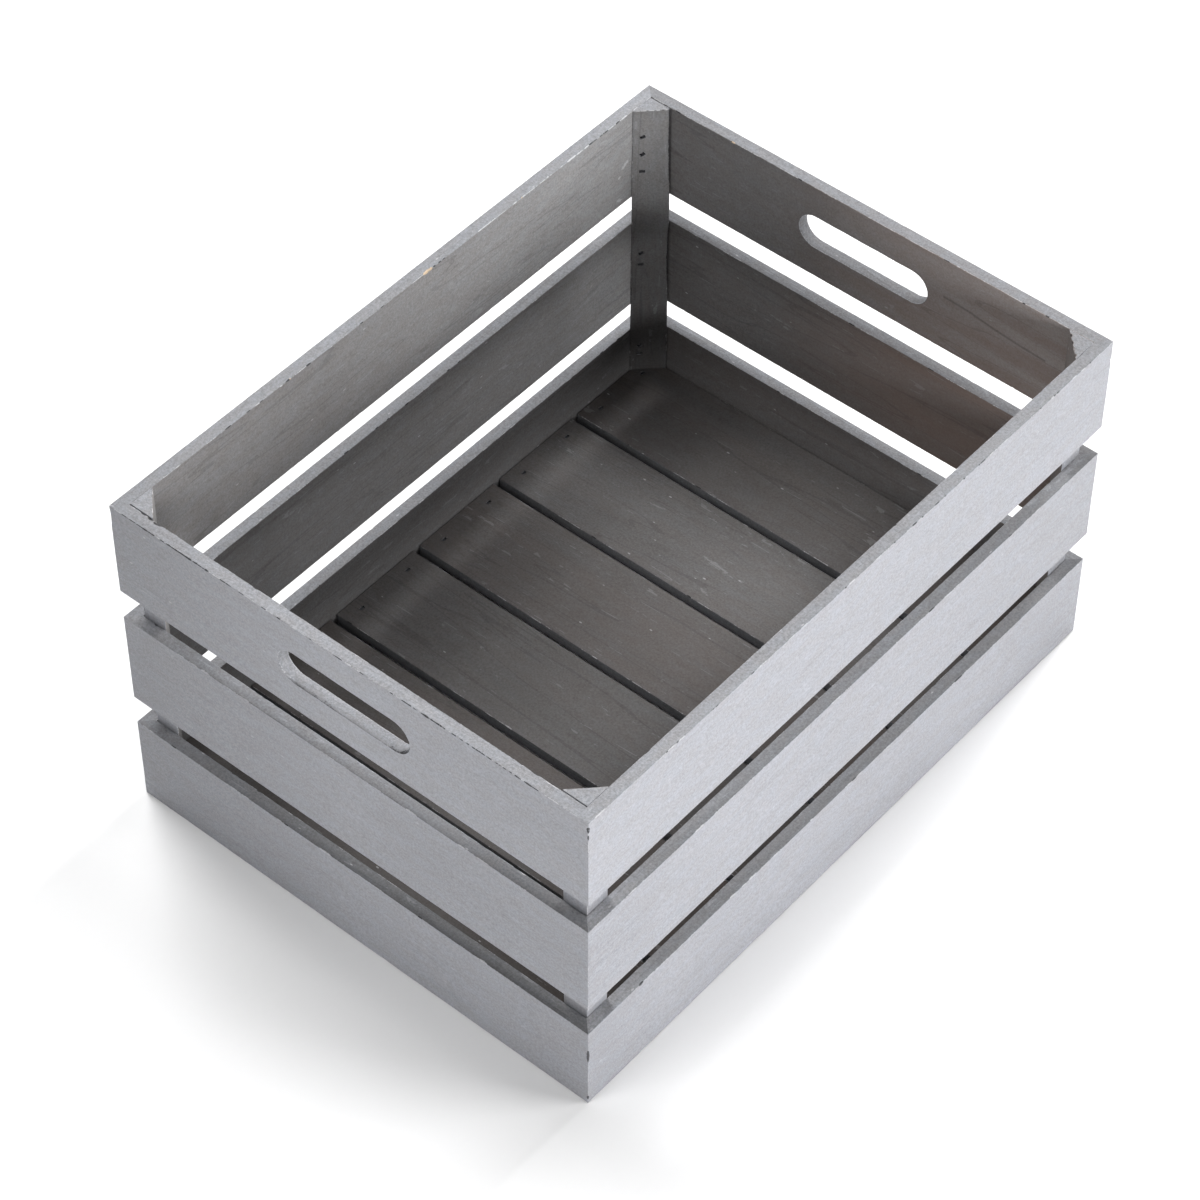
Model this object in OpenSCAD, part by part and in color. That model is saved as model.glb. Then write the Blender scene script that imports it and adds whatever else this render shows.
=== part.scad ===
// Hearth box for kindling: three tiers of thin mitred boards on four triangular corner posts,
// with a hand hole in each short side and a slatted floor on two cleats.
// +X runs along the length, +Y along the width, and the box stands on z = 0.

/* [Overall size] */
// Length over the two short sides
box_l = 400; // [300:1:700]
// Width over the two long sides
box_w = 298; // [200:1:500]

/* [Side boards] */
// Thickness of the side boards
slat_t = 7; // [5:0.5:12]
// Height of the top tier's boards
top_h = 60; // [45:1:100]
// Height of the middle tier's boards
mid_h = 60; // [30:1:100]
// Height of the bottom tier's boards
low_h = 56; // [50:1:100]
// Open gap between one tier and the next
tier_gap = 19; // [8:0.5:40]

/* [Hand holes] */
// Length of a hand hole, end to end
hole_l = 83; // [60:1:110]
// Height of a hand hole, which has round ends
hole_h = 21; // [15:0.5:30]

/* [Corner posts] */
// Leg of a post's right-angled triangle
post_leg = 15; // [13:0.5:25]
// Hairline gap between a post and the short side's boards
post_gap = 0.6; // [0:0.1:0.9]

/* [Floor] */
// Height of the cleats' undersides over the surface that the box stands on
floor_lift = 3; // [1:0.5:8]
// Side of a cleat's square section
cleat_side = 15; // [12:0.5:18]
// Thickness of the floor boards
board_t = 7; // [5:0.5:10]
// Gap between one floor board and the next
board_gap = 5; // [2:0.5:12]
// Clearance at the ends of the cleats and floor boards, and beside the outer boards
floor_fit = 0.5; // [0.1:0.1:0.9]

/* [Brads] */
// Width of a brad's shank
shank_w = 1.2; // [0.8:0.1:1.6]
// Thickness of a brad's shank
shank_t = 1; // [0.6:0.1:1.2]
// Width of a brad's head
head_w = 2.6; // [1.8:0.1:3.4]
// Thickness of a brad's head across its width
head_t = 1.3; // [1.2:0.1:1.8]
// Height of a brad's head along the shank
head_h = 0.8; // [0.4:0.1:1.2]
// Depth of an open brad's head under the wood's face
sink = 0.8; // [0.2:0.1:1.5]
// Depth of a filled-over brad's head under the wood's face
filled_sink = 1.8; // [1.2:0.1:3]
// Wood left between a brad's tip and the outer face of the side board
tip_cover = 1.2; // [0.6:0.1:2]
// Clearance between a brad and its pocket in the wood
brad_fit = 0.05; // [0.02:0.01:0.15]
// Distance of a row of brads from the edge of the post's diagonal face
brad_edge = 5.8; // [4:0.1:7]
// Spacing of the brads into the top tier's long board
top_pitch = 12; // [6:0.5:14]
// Spacing of the brads into the middle tier's long board
mid_pitch = 8; // [4:0.5:12]
// Height of the middle tier's brads over the middle of their board
mid_lift = 4; // [0:0.5:6]
// Spacing of the brads into the bottom tier's long board
low_pitch = 6; // [4:0.5:9]
// Spacing of the two brads from a post into each short board
end_pitch = 8; // [4:0.5:9]
// Distance of a floor board's brads from its long edges
board_brad_edge = 12; // [6:0.5:16]
// Depth that a floor board's brads reach into the cleat
cleat_bite = 9; // [5:0.5:10]

/* [Hidden] */
$fn = 64;

long_grey = "#c3c4c9";
end_grey = "#9a9ba1";
post_grey = "#8c8c92";
floor_grey = "#7d7a78";
steel = "#5f6066";

// A side of the box, by the sign of its x or y
LOW = -1;
HIGH = 1;

// Tiers from the floor up: 0 bottom, 1 middle, 2 top
BOTTOM = 0;
MIDDLE = 1;
TOP = 2;
tier_h = [low_h, mid_h, top_h];
tier_z = [0, low_h + tier_gap, low_h + mid_h + 2 * tier_gap];
rim_z = tier_z[TOP] + top_h;

// Space inside the side boards
inner_l = box_l - 2 * slat_t;
inner_w = box_w - 2 * slat_t;

// The floor's heights
cleat_top = floor_lift + cleat_side;
floor_top = cleat_top + board_t;

// Six floor boards lie side by side along the length
board_n = 6;
board_w = (inner_l - 2 * floor_fit - (board_n - 1) * board_gap) / board_n;
board_step = board_w + board_gap;

// How many brads each long board takes at a corner, their spacing and the middle of their row
row_count = [2, 2, 3];
row_pitch = [low_pitch, mid_pitch, top_pitch];
row_mid = [(floor_top + low_h) / 2, tier_z[MIDDLE] + mid_h / 2 + mid_lift, tier_z[TOP] + top_h / 2];
end_count = 2;
end_mid = [row_mid[BOTTOM], tier_z[MIDDLE] + mid_h / 2, tier_z[TOP] + top_h / 2];

// The brads' heads came out turned a little, each its own way
brad_turns = [2, -38, -24];

post_face = post_leg * sqrt(2);
side_reach = (slat_t - tip_cover) * sqrt(2);
long_brad = brad_edge + side_reach - sink;
end_brad = brad_edge + post_gap * sqrt(2) + side_reach - filled_sink;
cleat_brad = cleat_side + slat_t - tip_cover - sink;
board_brad = board_t + cleat_bite - sink;

// Past a face, so that a cut goes cleanly through it
past = 1;

// ---- brads ----

// A brad that points down from its head's top at the origin. The pocket that holds it is larger
// by grow, and is open for the height above over the head.
module brad(reach, grow = 0, above = 0) {
    translate([-head_w / 2 - grow, -head_t / 2 - grow, -head_h - grow])
        cube([head_w + 2 * grow, head_t + 2 * grow, head_h + grow + above]);
    translate([-shank_w / 2 - grow, -shank_t / 2 - grow, -reach - grow])
        cube([shank_w + 2 * grow, shank_t + 2 * grow, reach]);
}

// Puts its children at a corner, measured inwards from the corner's outer arris
module at_corner(x_side, y_side) {
    mirror([x_side == HIGH ? 1 : 0, 0, 0])
        mirror([0, y_side == HIGH ? 1 : 0, 0])
            translate([-box_l / 2, -box_w / 2, 0])
                children();
}

// Puts its children in the middle of the post's diagonal face, with Z out of the face, Y up
// and X towards the short side
module on_post_face() {
    translate([slat_t + post_gap + post_leg / 2, slat_t + post_leg / 2, 0])
        rotate([90, 0, 135])
            children();
}

// One tier's brads from a post into the long board beside it
module long_row(tier, grow = 0) {
    on_post_face()
        for (i = [0:row_count[tier] - 1]) {
            y = row_mid[tier] + (i - (row_count[tier] - 1) / 2) * row_pitch[tier];
            translate([brad_edge - post_face / 2, y, -sink])
                rotate([0, 0, brad_turns[i]])
                    brad(long_brad, grow, grow > 0 ? sink + past : 0);
        }
}

// One tier's brads from a post into the short board beside it, filled over
module end_row(tier, grow = 0) {
    on_post_face()
        for (i = [0:end_count - 1]) {
            y = end_mid[tier] + (i - (end_count - 1) / 2) * end_pitch;
            translate([post_face / 2 - brad_edge, y, -filled_sink])
                brad(end_brad, grow, grow);
        }
}

// All the brads of one corner
module corner_brads(x_side, y_side, grow = 0) {
    at_corner(x_side, y_side)
        for (tier = [BOTTOM:TOP]) {
            long_row(tier, grow);
            end_row(tier, grow);
        }
}

// A cleat's brads, one at each gap between floor boards, into the long side
module cleat_row(y_side, grow = 0) {
    for (i = [1:board_n - 1])
        translate([(i - board_n / 2) * board_step, 0, floor_lift + cleat_side / 2])
            mirror([0, y_side == HIGH ? 1 : 0, 0])
                translate([0, -inner_w / 2 + cleat_side - sink, 0])
                    rotate([-90, 0, 0])
                        brad(cleat_brad, grow, grow > 0 ? sink + past : 0);
}

// The brads down through the floor boards into the cleats, two at each end of a board
module board_rows(grow = 0) {
    for (i = [0:board_n - 1], side = [LOW, HIGH], end = [LOW, HIGH])
        translate([(i - (board_n - 1) / 2) * board_step + side * (board_w / 2 - board_brad_edge),
            end * (inner_w / 2 - cleat_side / 2), floor_top - sink])
            brad(board_brad, grow, grow > 0 ? sink + past : 0);
}

// ---- wood ----

// A board with mitred ends along X. Its outer face is on y = 0 and its thickness runs to +Y.
module mitred_board(length, height) {
    linear_extrude(height)
        polygon([[-length / 2, 0], [length / 2, 0],
            [length / 2 - slat_t, slat_t], [slat_t - length / 2, slat_t]]);
}

// One board of a long side, with the pockets of its brads
module long_slat(tier, y_side) {
    difference() {
        mirror([0, y_side == HIGH ? 1 : 0, 0])
            translate([0, -box_w / 2, tier_z[tier]])
                mitred_board(box_l, tier_h[tier]);
        for (x_side = [LOW, HIGH])
            at_corner(x_side, y_side)
                long_row(tier, brad_fit);
        if (tier == BOTTOM)
            cleat_row(y_side, brad_fit);
    }
}

// One board of a short side, with the pockets of its brads
module short_slat(tier, x_side) {
    difference() {
        mirror([x_side == HIGH ? 1 : 0, 0, 0])
            translate([-box_l / 2, 0, tier_z[tier]])
                rotate([0, 0, -90])
                    mitred_board(box_w, tier_h[tier]);
        for (y_side = [LOW, HIGH])
            at_corner(x_side, y_side)
                end_row(tier, brad_fit);
    }
}

// The outline of a hand hole, centred on the origin
module stadium() {
    straight = hole_l - hole_h;
    square([straight, hole_h], center = true);
    for (side = [LOW, HIGH])
        translate([side * straight / 2, 0])
            circle(d = hole_h);
}

// The top board of a short side, with its hand hole in the middle
module handled_slat(x_side) {
    difference() {
        short_slat(TOP, x_side);
        translate([x_side * (box_l - slat_t) / 2, 0, tier_z[TOP] + top_h / 2])
            rotate([90, 0, 90])
                linear_extrude(slat_t + 2 * past, center = true)
                    stadium();
    }
}

// A corner post, which stands on the floor boards and ends flush with the rim
module post(x_side, y_side) {
    difference() {
        at_corner(x_side, y_side)
            translate([slat_t + post_gap, slat_t, floor_top])
                linear_extrude(rim_z - floor_top)
                    polygon([[0, 0], [post_leg, 0], [0, post_leg]]);
        corner_brads(x_side, y_side, brad_fit);
    }
}

// A cleat along the foot of a long side
module cleat(y_side) {
    difference() {
        mirror([0, y_side == HIGH ? 1 : 0, 0])
            translate([floor_fit - inner_l / 2, -inner_w / 2, floor_lift])
                cube([inner_l - 2 * floor_fit, cleat_side, cleat_side]);
        cleat_row(y_side, brad_fit);
        board_rows(brad_fit);
    }
}

// A floor board, counted from 1 at the left
module base_board(number) {
    difference() {
        translate([(number - 1 - board_n / 2) * board_step + board_gap / 2, floor_fit - inner_w / 2, cleat_top])
            cube([board_w, inner_w - 2 * floor_fit, board_t]);
        board_rows(brad_fit);
    }
}

// ---- the pieces ----

module front_top_slat() { color(long_grey) long_slat(TOP, LOW); }
module front_middle_slat() { color(long_grey) long_slat(MIDDLE, LOW); }
module front_bottom_slat() { color(long_grey) long_slat(BOTTOM, LOW); }
module back_top_slat() { color(long_grey) long_slat(TOP, HIGH); }
module back_middle_slat() { color(long_grey) long_slat(MIDDLE, HIGH); }
module back_bottom_slat() { color(long_grey) long_slat(BOTTOM, HIGH); }
module left_top_slat() { color(end_grey) handled_slat(LOW); }
module left_middle_slat() { color(end_grey) short_slat(MIDDLE, LOW); }
module left_bottom_slat() { color(end_grey) short_slat(BOTTOM, LOW); }
module right_top_slat() { color(end_grey) handled_slat(HIGH); }
module right_middle_slat() { color(end_grey) short_slat(MIDDLE, HIGH); }
module right_bottom_slat() { color(end_grey) short_slat(BOTTOM, HIGH); }
module front_left_post() { color(post_grey) post(LOW, LOW); }
module front_right_post() { color(post_grey) post(HIGH, LOW); }
module back_left_post() { color(post_grey) post(LOW, HIGH); }
module back_right_post() { color(post_grey) post(HIGH, HIGH); }
module front_cleat() { color(floor_grey) cleat(LOW); }
module back_cleat() { color(floor_grey) cleat(HIGH); }
module base_board_1() { color(floor_grey) base_board(1); }
module base_board_2() { color(floor_grey) base_board(2); }
module base_board_3() { color(floor_grey) base_board(3); }
module base_board_4() { color(floor_grey) base_board(4); }
module base_board_5() { color(floor_grey) base_board(5); }
module base_board_6() { color(floor_grey) base_board(6); }
module front_left_brads() { color(steel) corner_brads(LOW, LOW); }
module front_right_brads() { color(steel) corner_brads(HIGH, LOW); }
module back_left_brads() { color(steel) corner_brads(LOW, HIGH); }
module back_right_brads() { color(steel) corner_brads(HIGH, HIGH); }
module front_cleat_brads() { color(steel) cleat_row(LOW); }
module back_cleat_brads() { color(steel) cleat_row(HIGH); }
module base_board_brads() { color(steel) board_rows(); }

front_top_slat();
front_middle_slat();
front_bottom_slat();
back_top_slat();
back_middle_slat();
back_bottom_slat();
left_top_slat();
left_middle_slat();
left_bottom_slat();
right_top_slat();
right_middle_slat();
right_bottom_slat();
front_left_post();
front_right_post();
back_left_post();
back_right_post();
front_cleat();
back_cleat();
base_board_1();
base_board_2();
base_board_3();
base_board_4();
base_board_5();
base_board_6();
front_left_brads();
front_right_brads();
back_left_brads();
back_right_brads();
front_cleat_brads();
back_cleat_brads();
base_board_brads();
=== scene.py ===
"""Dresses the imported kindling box: eased and chipped boards in grey-stained pine, steel brads,
a pale floor, studio light and a camera. Lengths in the code are in millimetres, as on a drawing."""

import math
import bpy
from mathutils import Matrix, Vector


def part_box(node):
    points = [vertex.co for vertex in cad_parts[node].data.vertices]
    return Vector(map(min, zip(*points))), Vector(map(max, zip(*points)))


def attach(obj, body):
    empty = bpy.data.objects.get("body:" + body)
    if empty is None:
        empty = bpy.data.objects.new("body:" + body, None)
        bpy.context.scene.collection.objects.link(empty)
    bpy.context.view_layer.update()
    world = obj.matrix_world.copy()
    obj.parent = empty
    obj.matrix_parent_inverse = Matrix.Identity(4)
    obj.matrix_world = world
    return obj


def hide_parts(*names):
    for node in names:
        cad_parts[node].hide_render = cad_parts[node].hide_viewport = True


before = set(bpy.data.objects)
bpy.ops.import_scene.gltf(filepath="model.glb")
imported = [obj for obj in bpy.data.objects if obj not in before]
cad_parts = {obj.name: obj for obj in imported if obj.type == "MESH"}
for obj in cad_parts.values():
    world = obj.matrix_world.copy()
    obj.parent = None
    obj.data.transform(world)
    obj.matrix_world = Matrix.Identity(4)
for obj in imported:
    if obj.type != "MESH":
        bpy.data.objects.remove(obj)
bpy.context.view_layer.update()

import zlib

import bmesh
import bpy
import numpy as np
from bpy.props import FloatProperty, FloatVectorProperty, PointerProperty
from mathutils import Matrix, Vector

bl_info = {
    "name": "Kindling box",
    "version": (1, 0, 0),
    "blender": (4, 5, 0),
    "location": "3D View > Sidebar > Kindling box",
    "description": "Builds a stained-board kindling box round its packed frame",
    "category": "Object",
}

MM = 0.001
BODY = "root"
TIERS = ("bottom", "middle", "top")

# Materials of a board, in the order of its mesh's slots
OUTSIDE, SAWN, INSIDE = 0, 1, 2
# Column of TONES for the wood that shows through, which on the right side's inner faces is partly painted
# warm bounced light
WARMTH = 3

# Marks on an arris, in the order of the mesh's "marks" attribute
# The first mark is pale: partly wear, partly a painted highlight on the arris
WEAR_AND_GLINT, DARK, RAW = 0, 1, 2

# Mesh lines across an eased arris, and how strongly its marks show on each
ROUND = np.linspace(0, 1, 5)
CREST = 4 * ROUND * (1 - ROUND)
# Turns of the surface at the mesh lines of a mitred end and of a square end
MITRE_TURNS = np.radians([45, 30, 15, 0])
SQUARE_TURNS = np.radians([90, 60, 30, 0])
# How deep a mitre's easing cuts into the outer face, as a share of its radius
MITRE_EASE = 1 - math.cos(math.pi / 4)
# How far the box's upright arrises and the square ends are eased, as shares of the boards' easing
UPRIGHT_EASE, END_EASE = 1.15, 0.45

# Sides of a section: a side board's or cleat's inner face, a post's diagonal face and a floor
# board's top
INNER, DIAGONAL, TOP = 2, 1, 1

# Length at each end of a piece that holds only the end's own mesh lines, and their places in it
LEAD = 2.4
END_LINES = np.array([0, 0.2, 0.5, 0.9])
# Least distance from an arris to the next mesh line on a flat side
FLAT_START = 1.9
# Least distance between mesh lines, and between the edges of two pockets that aren't in line
LEAST_STEP, OUT_OF_LINE = 0.4, 0.05
# Mesh lines across a chip, in shares of its half length
CHIP_LINES = (-1, -0.62, -0.25, 0.25, 0.62, 1)
# Least width of a side whose flat part dips
LEAST_PLANED = 12
# Mean distances between the small chips of the posts, cleats and floor boards
POST_CHIPS, CLEAT_CHIPS, FLOOR_CHIPS = 26, 90, 60
# Least angle in degrees between two faces whose edge is shaded as sharp
SHARP_FROM = 38


# ---- sizes, colours and light that a user would change ----


def linear(code):
    """An sRGB hex colour as linear red, green and blue."""
    parts = [int(code[i : i + 2], 16) / 255 for i in (1, 3, 5)]
    return [c / 12.92 if c <= 0.04045 else ((c + 0.055) / 1.055) ** 2.4 for c in parts]


# What all the colours below share
COLOUR = {"subtype": "COLOR", "size": 3}


class BoardShape(bpy.types.PropertyGroup):
    """How the wooden pieces are shaped"""

    arris: FloatProperty(
        name="Arris", description="How far the arrises are eased", default=0.00042, unit="LENGTH"
    )
    uneven: FloatProperty(
        name="Unevenness", description="How far the planed faces dip", default=0.00012, unit="LENGTH"
    )
    chip_spacing: FloatProperty(
        name="Chip spacing", description="Mean distance between small chips along an arris",
        default=0.075, unit="LENGTH",
    )
    mesh_step: FloatProperty(
        name="Mesh step", description="Distance between mesh lines along a board",
        default=0.0045, unit="LENGTH",
    )


class StainColours(bpy.types.PropertyGroup):
    """The colours of the stain, of the wood under it and of the brads"""

    outside: FloatVectorProperty(
        name="Outside", description="Stain on the outer faces", default=linear("#a3a3a8"), **COLOUR
    )
    # Darker than the outside stain, partly as painted shade of the box's inside
    inside: FloatVectorProperty(
        name="Inside", description="Stain on the inner faces", default=linear("#858484"), **COLOUR
    )
    sawn: FloatVectorProperty(
        name="Sawn edges", description="Stain on the sawn edges", default=linear("#8d8d90"), **COLOUR
    )
    # Pale stain on the arrises: partly rubbed wear, partly a painted highlight where light catches the
    # edge
    wear_and_glint: FloatVectorProperty(
        name="Worn arris", description="Stain rubbed pale on the arrises",
        default=linear("#dcdcdf"), **COLOUR,
    )
    raw: FloatVectorProperty(
        name="Bare wood", description="Pine where the stain has come off",
        default=linear("#c9b194"), **COLOUR,
    )
    # Its warmth on the right side's inner faces is partly painted warm bounced light
    wood: FloatVectorProperty(
        name="Wood", description="Wood that shows through the thin stain",
        default=linear("#7f685c"), **COLOUR,
    )
    dark: FloatVectorProperty(
        name="Dark chips", description="Dirt and shade in the chips",
        default=linear("#202023"), **COLOUR,
    )
    steel: FloatVectorProperty(
        name="Brads", description="Zinc on the brads", default=linear("#7b7c80"), **COLOUR
    )


class StudioLook(bpy.types.PropertyGroup):
    """The studio's floor and lights"""

    floor: FloatVectorProperty(
        name="Floor", description="The pale floor", default=linear("#f6f6f6"), **COLOUR
    )
    sky: FloatProperty(name="Sky", description="Even light from all round", default=0.02)
    high_back: FloatProperty(
        name="High back light", description="Soft light high behind the box",
        default=47, unit="POWER",
    )
    right: FloatProperty(
        name="Right light", description="Soft light low at the box's right",
        default=76, unit="POWER",
    )
    high_front: FloatProperty(
        name="High front light", description="Soft light high at the front right",
        default=25, unit="POWER",
    )
    low_front: FloatProperty(
        name="Low front light", description="Soft light low at the front",
        default=42, unit="POWER",
    )
    left: FloatProperty(
        name="Left light", description="Weak soft light high at the left",
        default=19.5, unit="POWER",
    )


# ---- chips and easing along an arris ----


def seeded(name):
    """Random numbers that are the same in every run for one name."""
    return np.random.default_rng(zlib.crc32(name.encode()))


def ripple(places, rng, waves):
    """A smooth random line from -1 to 1 along some places, with waves of these lengths."""
    whole = 2 * math.pi
    return sum(np.sin(whole * places / w + rng.uniform(0, whole)) for w in waves) / len(waves)


def small_chips(rng, low, high, spacing):
    """Small chips along an arris: centre, half length, depth, lean to one side and mark."""
    return [
        (
            rng.uniform(low + LEAD, high - LEAD), rng.uniform(0.7, 2.6), rng.uniform(0.08, 0.36),
            rng.uniform(-0.6, 0.6), rng.choice([WEAR_AND_GLINT, DARK, DARK]),
        )
        for _ in range(rng.poisson((high - low) / spacing))
    ]


def with_marks(node, chips, rng):
    """Adds to the small chips of a node's arrises those that the photograph shows."""
    for arris, *chip in BOARD_CHIPS.get(node, ()):
        chips[arris].append(tuple(chip))
    for arris, low, high, spacing, mark in ROUGH.get(node, ()):
        for _ in range(round((high - low) / spacing)):
            centre, half = rng.uniform(low, high), rng.uniform(0.5, 2.2)
            depth, lean = rng.uniform(0.02, 0.2), rng.uniform(-0.3, 0.6)
            chips[arris].append((centre, half, depth, lean, mark))
    return chips


def arris_line(places, rng, ease, chips):
    """How far an arris is cut back on its two sides at each place, and its marks there."""
    base = ease * (1 + 0.22 * ripple(places, rng, (9, 23, 57)))
    before, after = base.copy(), base.copy()
    marks = np.zeros((len(places), 3))
    # A pale line along the whole arris: partly wear, partly a painted highlight
    marks[:, WEAR_AND_GLINT] = np.clip(0.35 + 0.8 * ripple(places, rng, (11, 31, 83)), 0, 0.8)
    for centre, half, depth, lean, mark in chips:
        bite = np.clip(1 - ((places - centre) / half) ** 2, 0, None)
        before += depth * (1 + lean) * bite
        after += depth * (1 - lean) * bite
        marks *= 1 - np.minimum(1, 2 * bite)[:, None]
        marks[:, mark] = np.maximum(marks[:, mark], np.minimum(1, 1.8 * bite))
    return before, after, marks


def mesh_lines(low, high, step, chips=(), pockets=()):
    """Places for mesh lines: evenly, closer together at each chip, and at the edges of each pocket.
    A pocket's third value is how far from its centre no other line may lie."""
    wanted = list(np.linspace(low, high, max(2, round((high - low) / step) + 1)))
    for centre, half, *_ in chips:
        wanted += [centre + half * share for share in CHIP_LINES]
    fixed = []
    for edge in sorted(e for centre, half, _ in pockets for e in (centre - half, centre + half)):
        if not fixed or edge - fixed[-1] > OUT_OF_LINE:
            fixed.append(edge)
    kept = []
    for place in sorted(wanted):
        if not low <= place <= high or any(abs(place - c) < clear for c, _, clear in pockets):
            continue
        if place in (low, high) or not kept or place - kept[-1] > LEAST_STEP:
            kept.append(place)
    if len(kept) > 2 and kept[-1] - kept[-2] < LEAST_STEP:
        kept.pop(-2)
    return np.array(sorted(kept + fixed))


def bend(share, start, corner, end):
    """The point at a share of the way along a smooth bend from start to end that heads for the
    corner. Several shares, one to a row, give several points."""
    return (1 - share) ** 2 * start + 2 * share * (1 - share) * corner + share**2 * end


# ---- boards, posts and cleats ----


class Pocket:
    """A slot in a side of a piece, where a brad's head sits: its centre along and across the
    side, its half lengths in those directions, its turn and its depth."""

    def __init__(self, side, along, across, half_along, half_across, turn, depth):
        self.side, self.along, self.across = side, along, across
        self.half_along, self.half_across = half_along, half_across
        self.turn, self.depth = turn, depth
        # How far from its centre the mesh has no lines but its own
        self.clear = math.hypot(half_along, half_across) + 0.5


class Timber:
    """The mesh of one piece while it is made, in its own frame: along it, then across its section."""

    def __init__(self):
        self.points, self.marks, self.faces, self.mats = [], [], [], []

    def add_grid(self, points, marks, strips, closed, holes=()):
        """The piece's grid, whose rows close on themselves, and its columns too where it is closed.
        Each strip between two columns has its material."""
        rows, cols = points.shape[:2]
        self.points += list(points.reshape(-1, 3))
        self.marks += list(marks.reshape(-1, 3))
        for i in range(rows if closed else rows - 1):
            for j in range(cols):
                if (i, j) not in holes:
                    corners = ((i, j), (i + 1, j), (i + 1, j + 1), (i, j + 1))
                    self.add_face((a % rows * cols + b % cols for a, b in corners), strips[j])

    def add_face(self, corners, mat):
        self.faces.append(list(corners))
        self.mats.append(mat)

    def sink_pocket(self, rim, inward, depth, mat):
        """Walls down from the four points of a rim, and a floor."""
        first = len(self.points)
        self.points += [self.points[k] + inward * depth for k in rim]
        self.marks += [np.array([0, 1, 0])] * 4
        for k in range(4):
            n = (k + 1) % 4
            self.add_face((rim[k], rim[n], first + n, first + k), mat)
        self.add_face(range(first, first + 4), mat)


# How pale a scuff is in its middle: over 1, it stays fully pale for some way towards its outline
SCUFF_CORE = 1.7
# How dark a mitre's joint is, and how pale the edges of a square end are, from wear and a painted
# highlight
JOINT_GRIME, END_WEAR_AND_GLINT = 0.45, 0.35


def scuff_marks(places, under, scuffs):
    """Marks of the pale scuffs on the line of an inner face that lies this far under its top."""
    marks = np.zeros((len(places), 3))
    for place, middle, half, width, turn in scuffs:
        c, s = math.cos(math.radians(turn)), math.sin(math.radians(turn))
        u, v = places - place, under - middle
        near = SCUFF_CORE - ((u * c + v * s) / half) ** 2 - ((v * c - u * s) / width) ** 2
        marks[:, WEAR_AND_GLINT] = np.maximum(marks[:, WEAR_AND_GLINT], np.clip(near, 0, 1))
    return marks


def ease_mitre(grid, rows, tip, way, ease, end):
    """Eases the upright arris at a mitred end, in the same way on both of the boards that meet."""
    along, section_at, marks = grid
    chips, seed = end
    radius, _, wear_and_glint = arris_line(section_at[0, :, 0], seeded(seed), ease * UPRIGHT_EASE, chips)
    # The outer face's columns and those of the arrises beside it
    outer = (section_at[0, :, 1] < 1.0)[:, None]
    for turn, i in zip(MITRE_TURNS, rows):
        depth = section_at[i, :, 1].copy()
        reach = np.maximum(depth, MITRE_EASE * radius)
        along[i] = tip + way * (reach + radius * (math.sin(math.pi / 4) - math.sin(turn)))
        section_at[i, :, 1] = np.maximum(depth, radius * (1 - math.cos(turn)))
        in_joint = turn == MITRE_TURNS[0]
        share = 1.0 if in_joint else math.sin(2 * turn)
        marks[i] = np.where(outer, np.maximum(marks[i], wear_and_glint * share), marks[i])
        if in_joint:
            marks[i, :, DARK] = np.maximum(marks[i, :, DARK], JOINT_GRIME)


def ease_square(grid, columns, rows, tip, way, ease, chips, end):
    """Eases a square end all round, and chips its edge on a post's diagonal face."""
    along, section_at, marks = grid
    side_of, across, tilt = columns
    radius = END_EASE * ease * (1 + 0.3 * np.sin(np.arange(len(across)) * 0.7 + end))
    wear_and_glint = np.zeros((len(across), 3))
    wear_and_glint[:, WEAR_AND_GLINT] = END_WEAR_AND_GLINT
    for centre, half, depth, mark in chips:
        bite = np.clip(1 - ((across - centre) / half) ** 2, 0, None) * (side_of == DIAGONAL)
        radius = radius + depth * bite
        wear_and_glint[:, mark] = np.maximum(wear_and_glint[:, mark], bite)
    for turn, i in zip(SQUARE_TURNS, rows):
        along[i] = tip + way * radius * (1 - math.sin(turn))
        section_at[i] += tilt * (radius * (1 - math.cos(turn)))[:, None]
        marks[i] = np.maximum(marks[i], wear_and_glint * math.sin(2 * turn))


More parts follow.
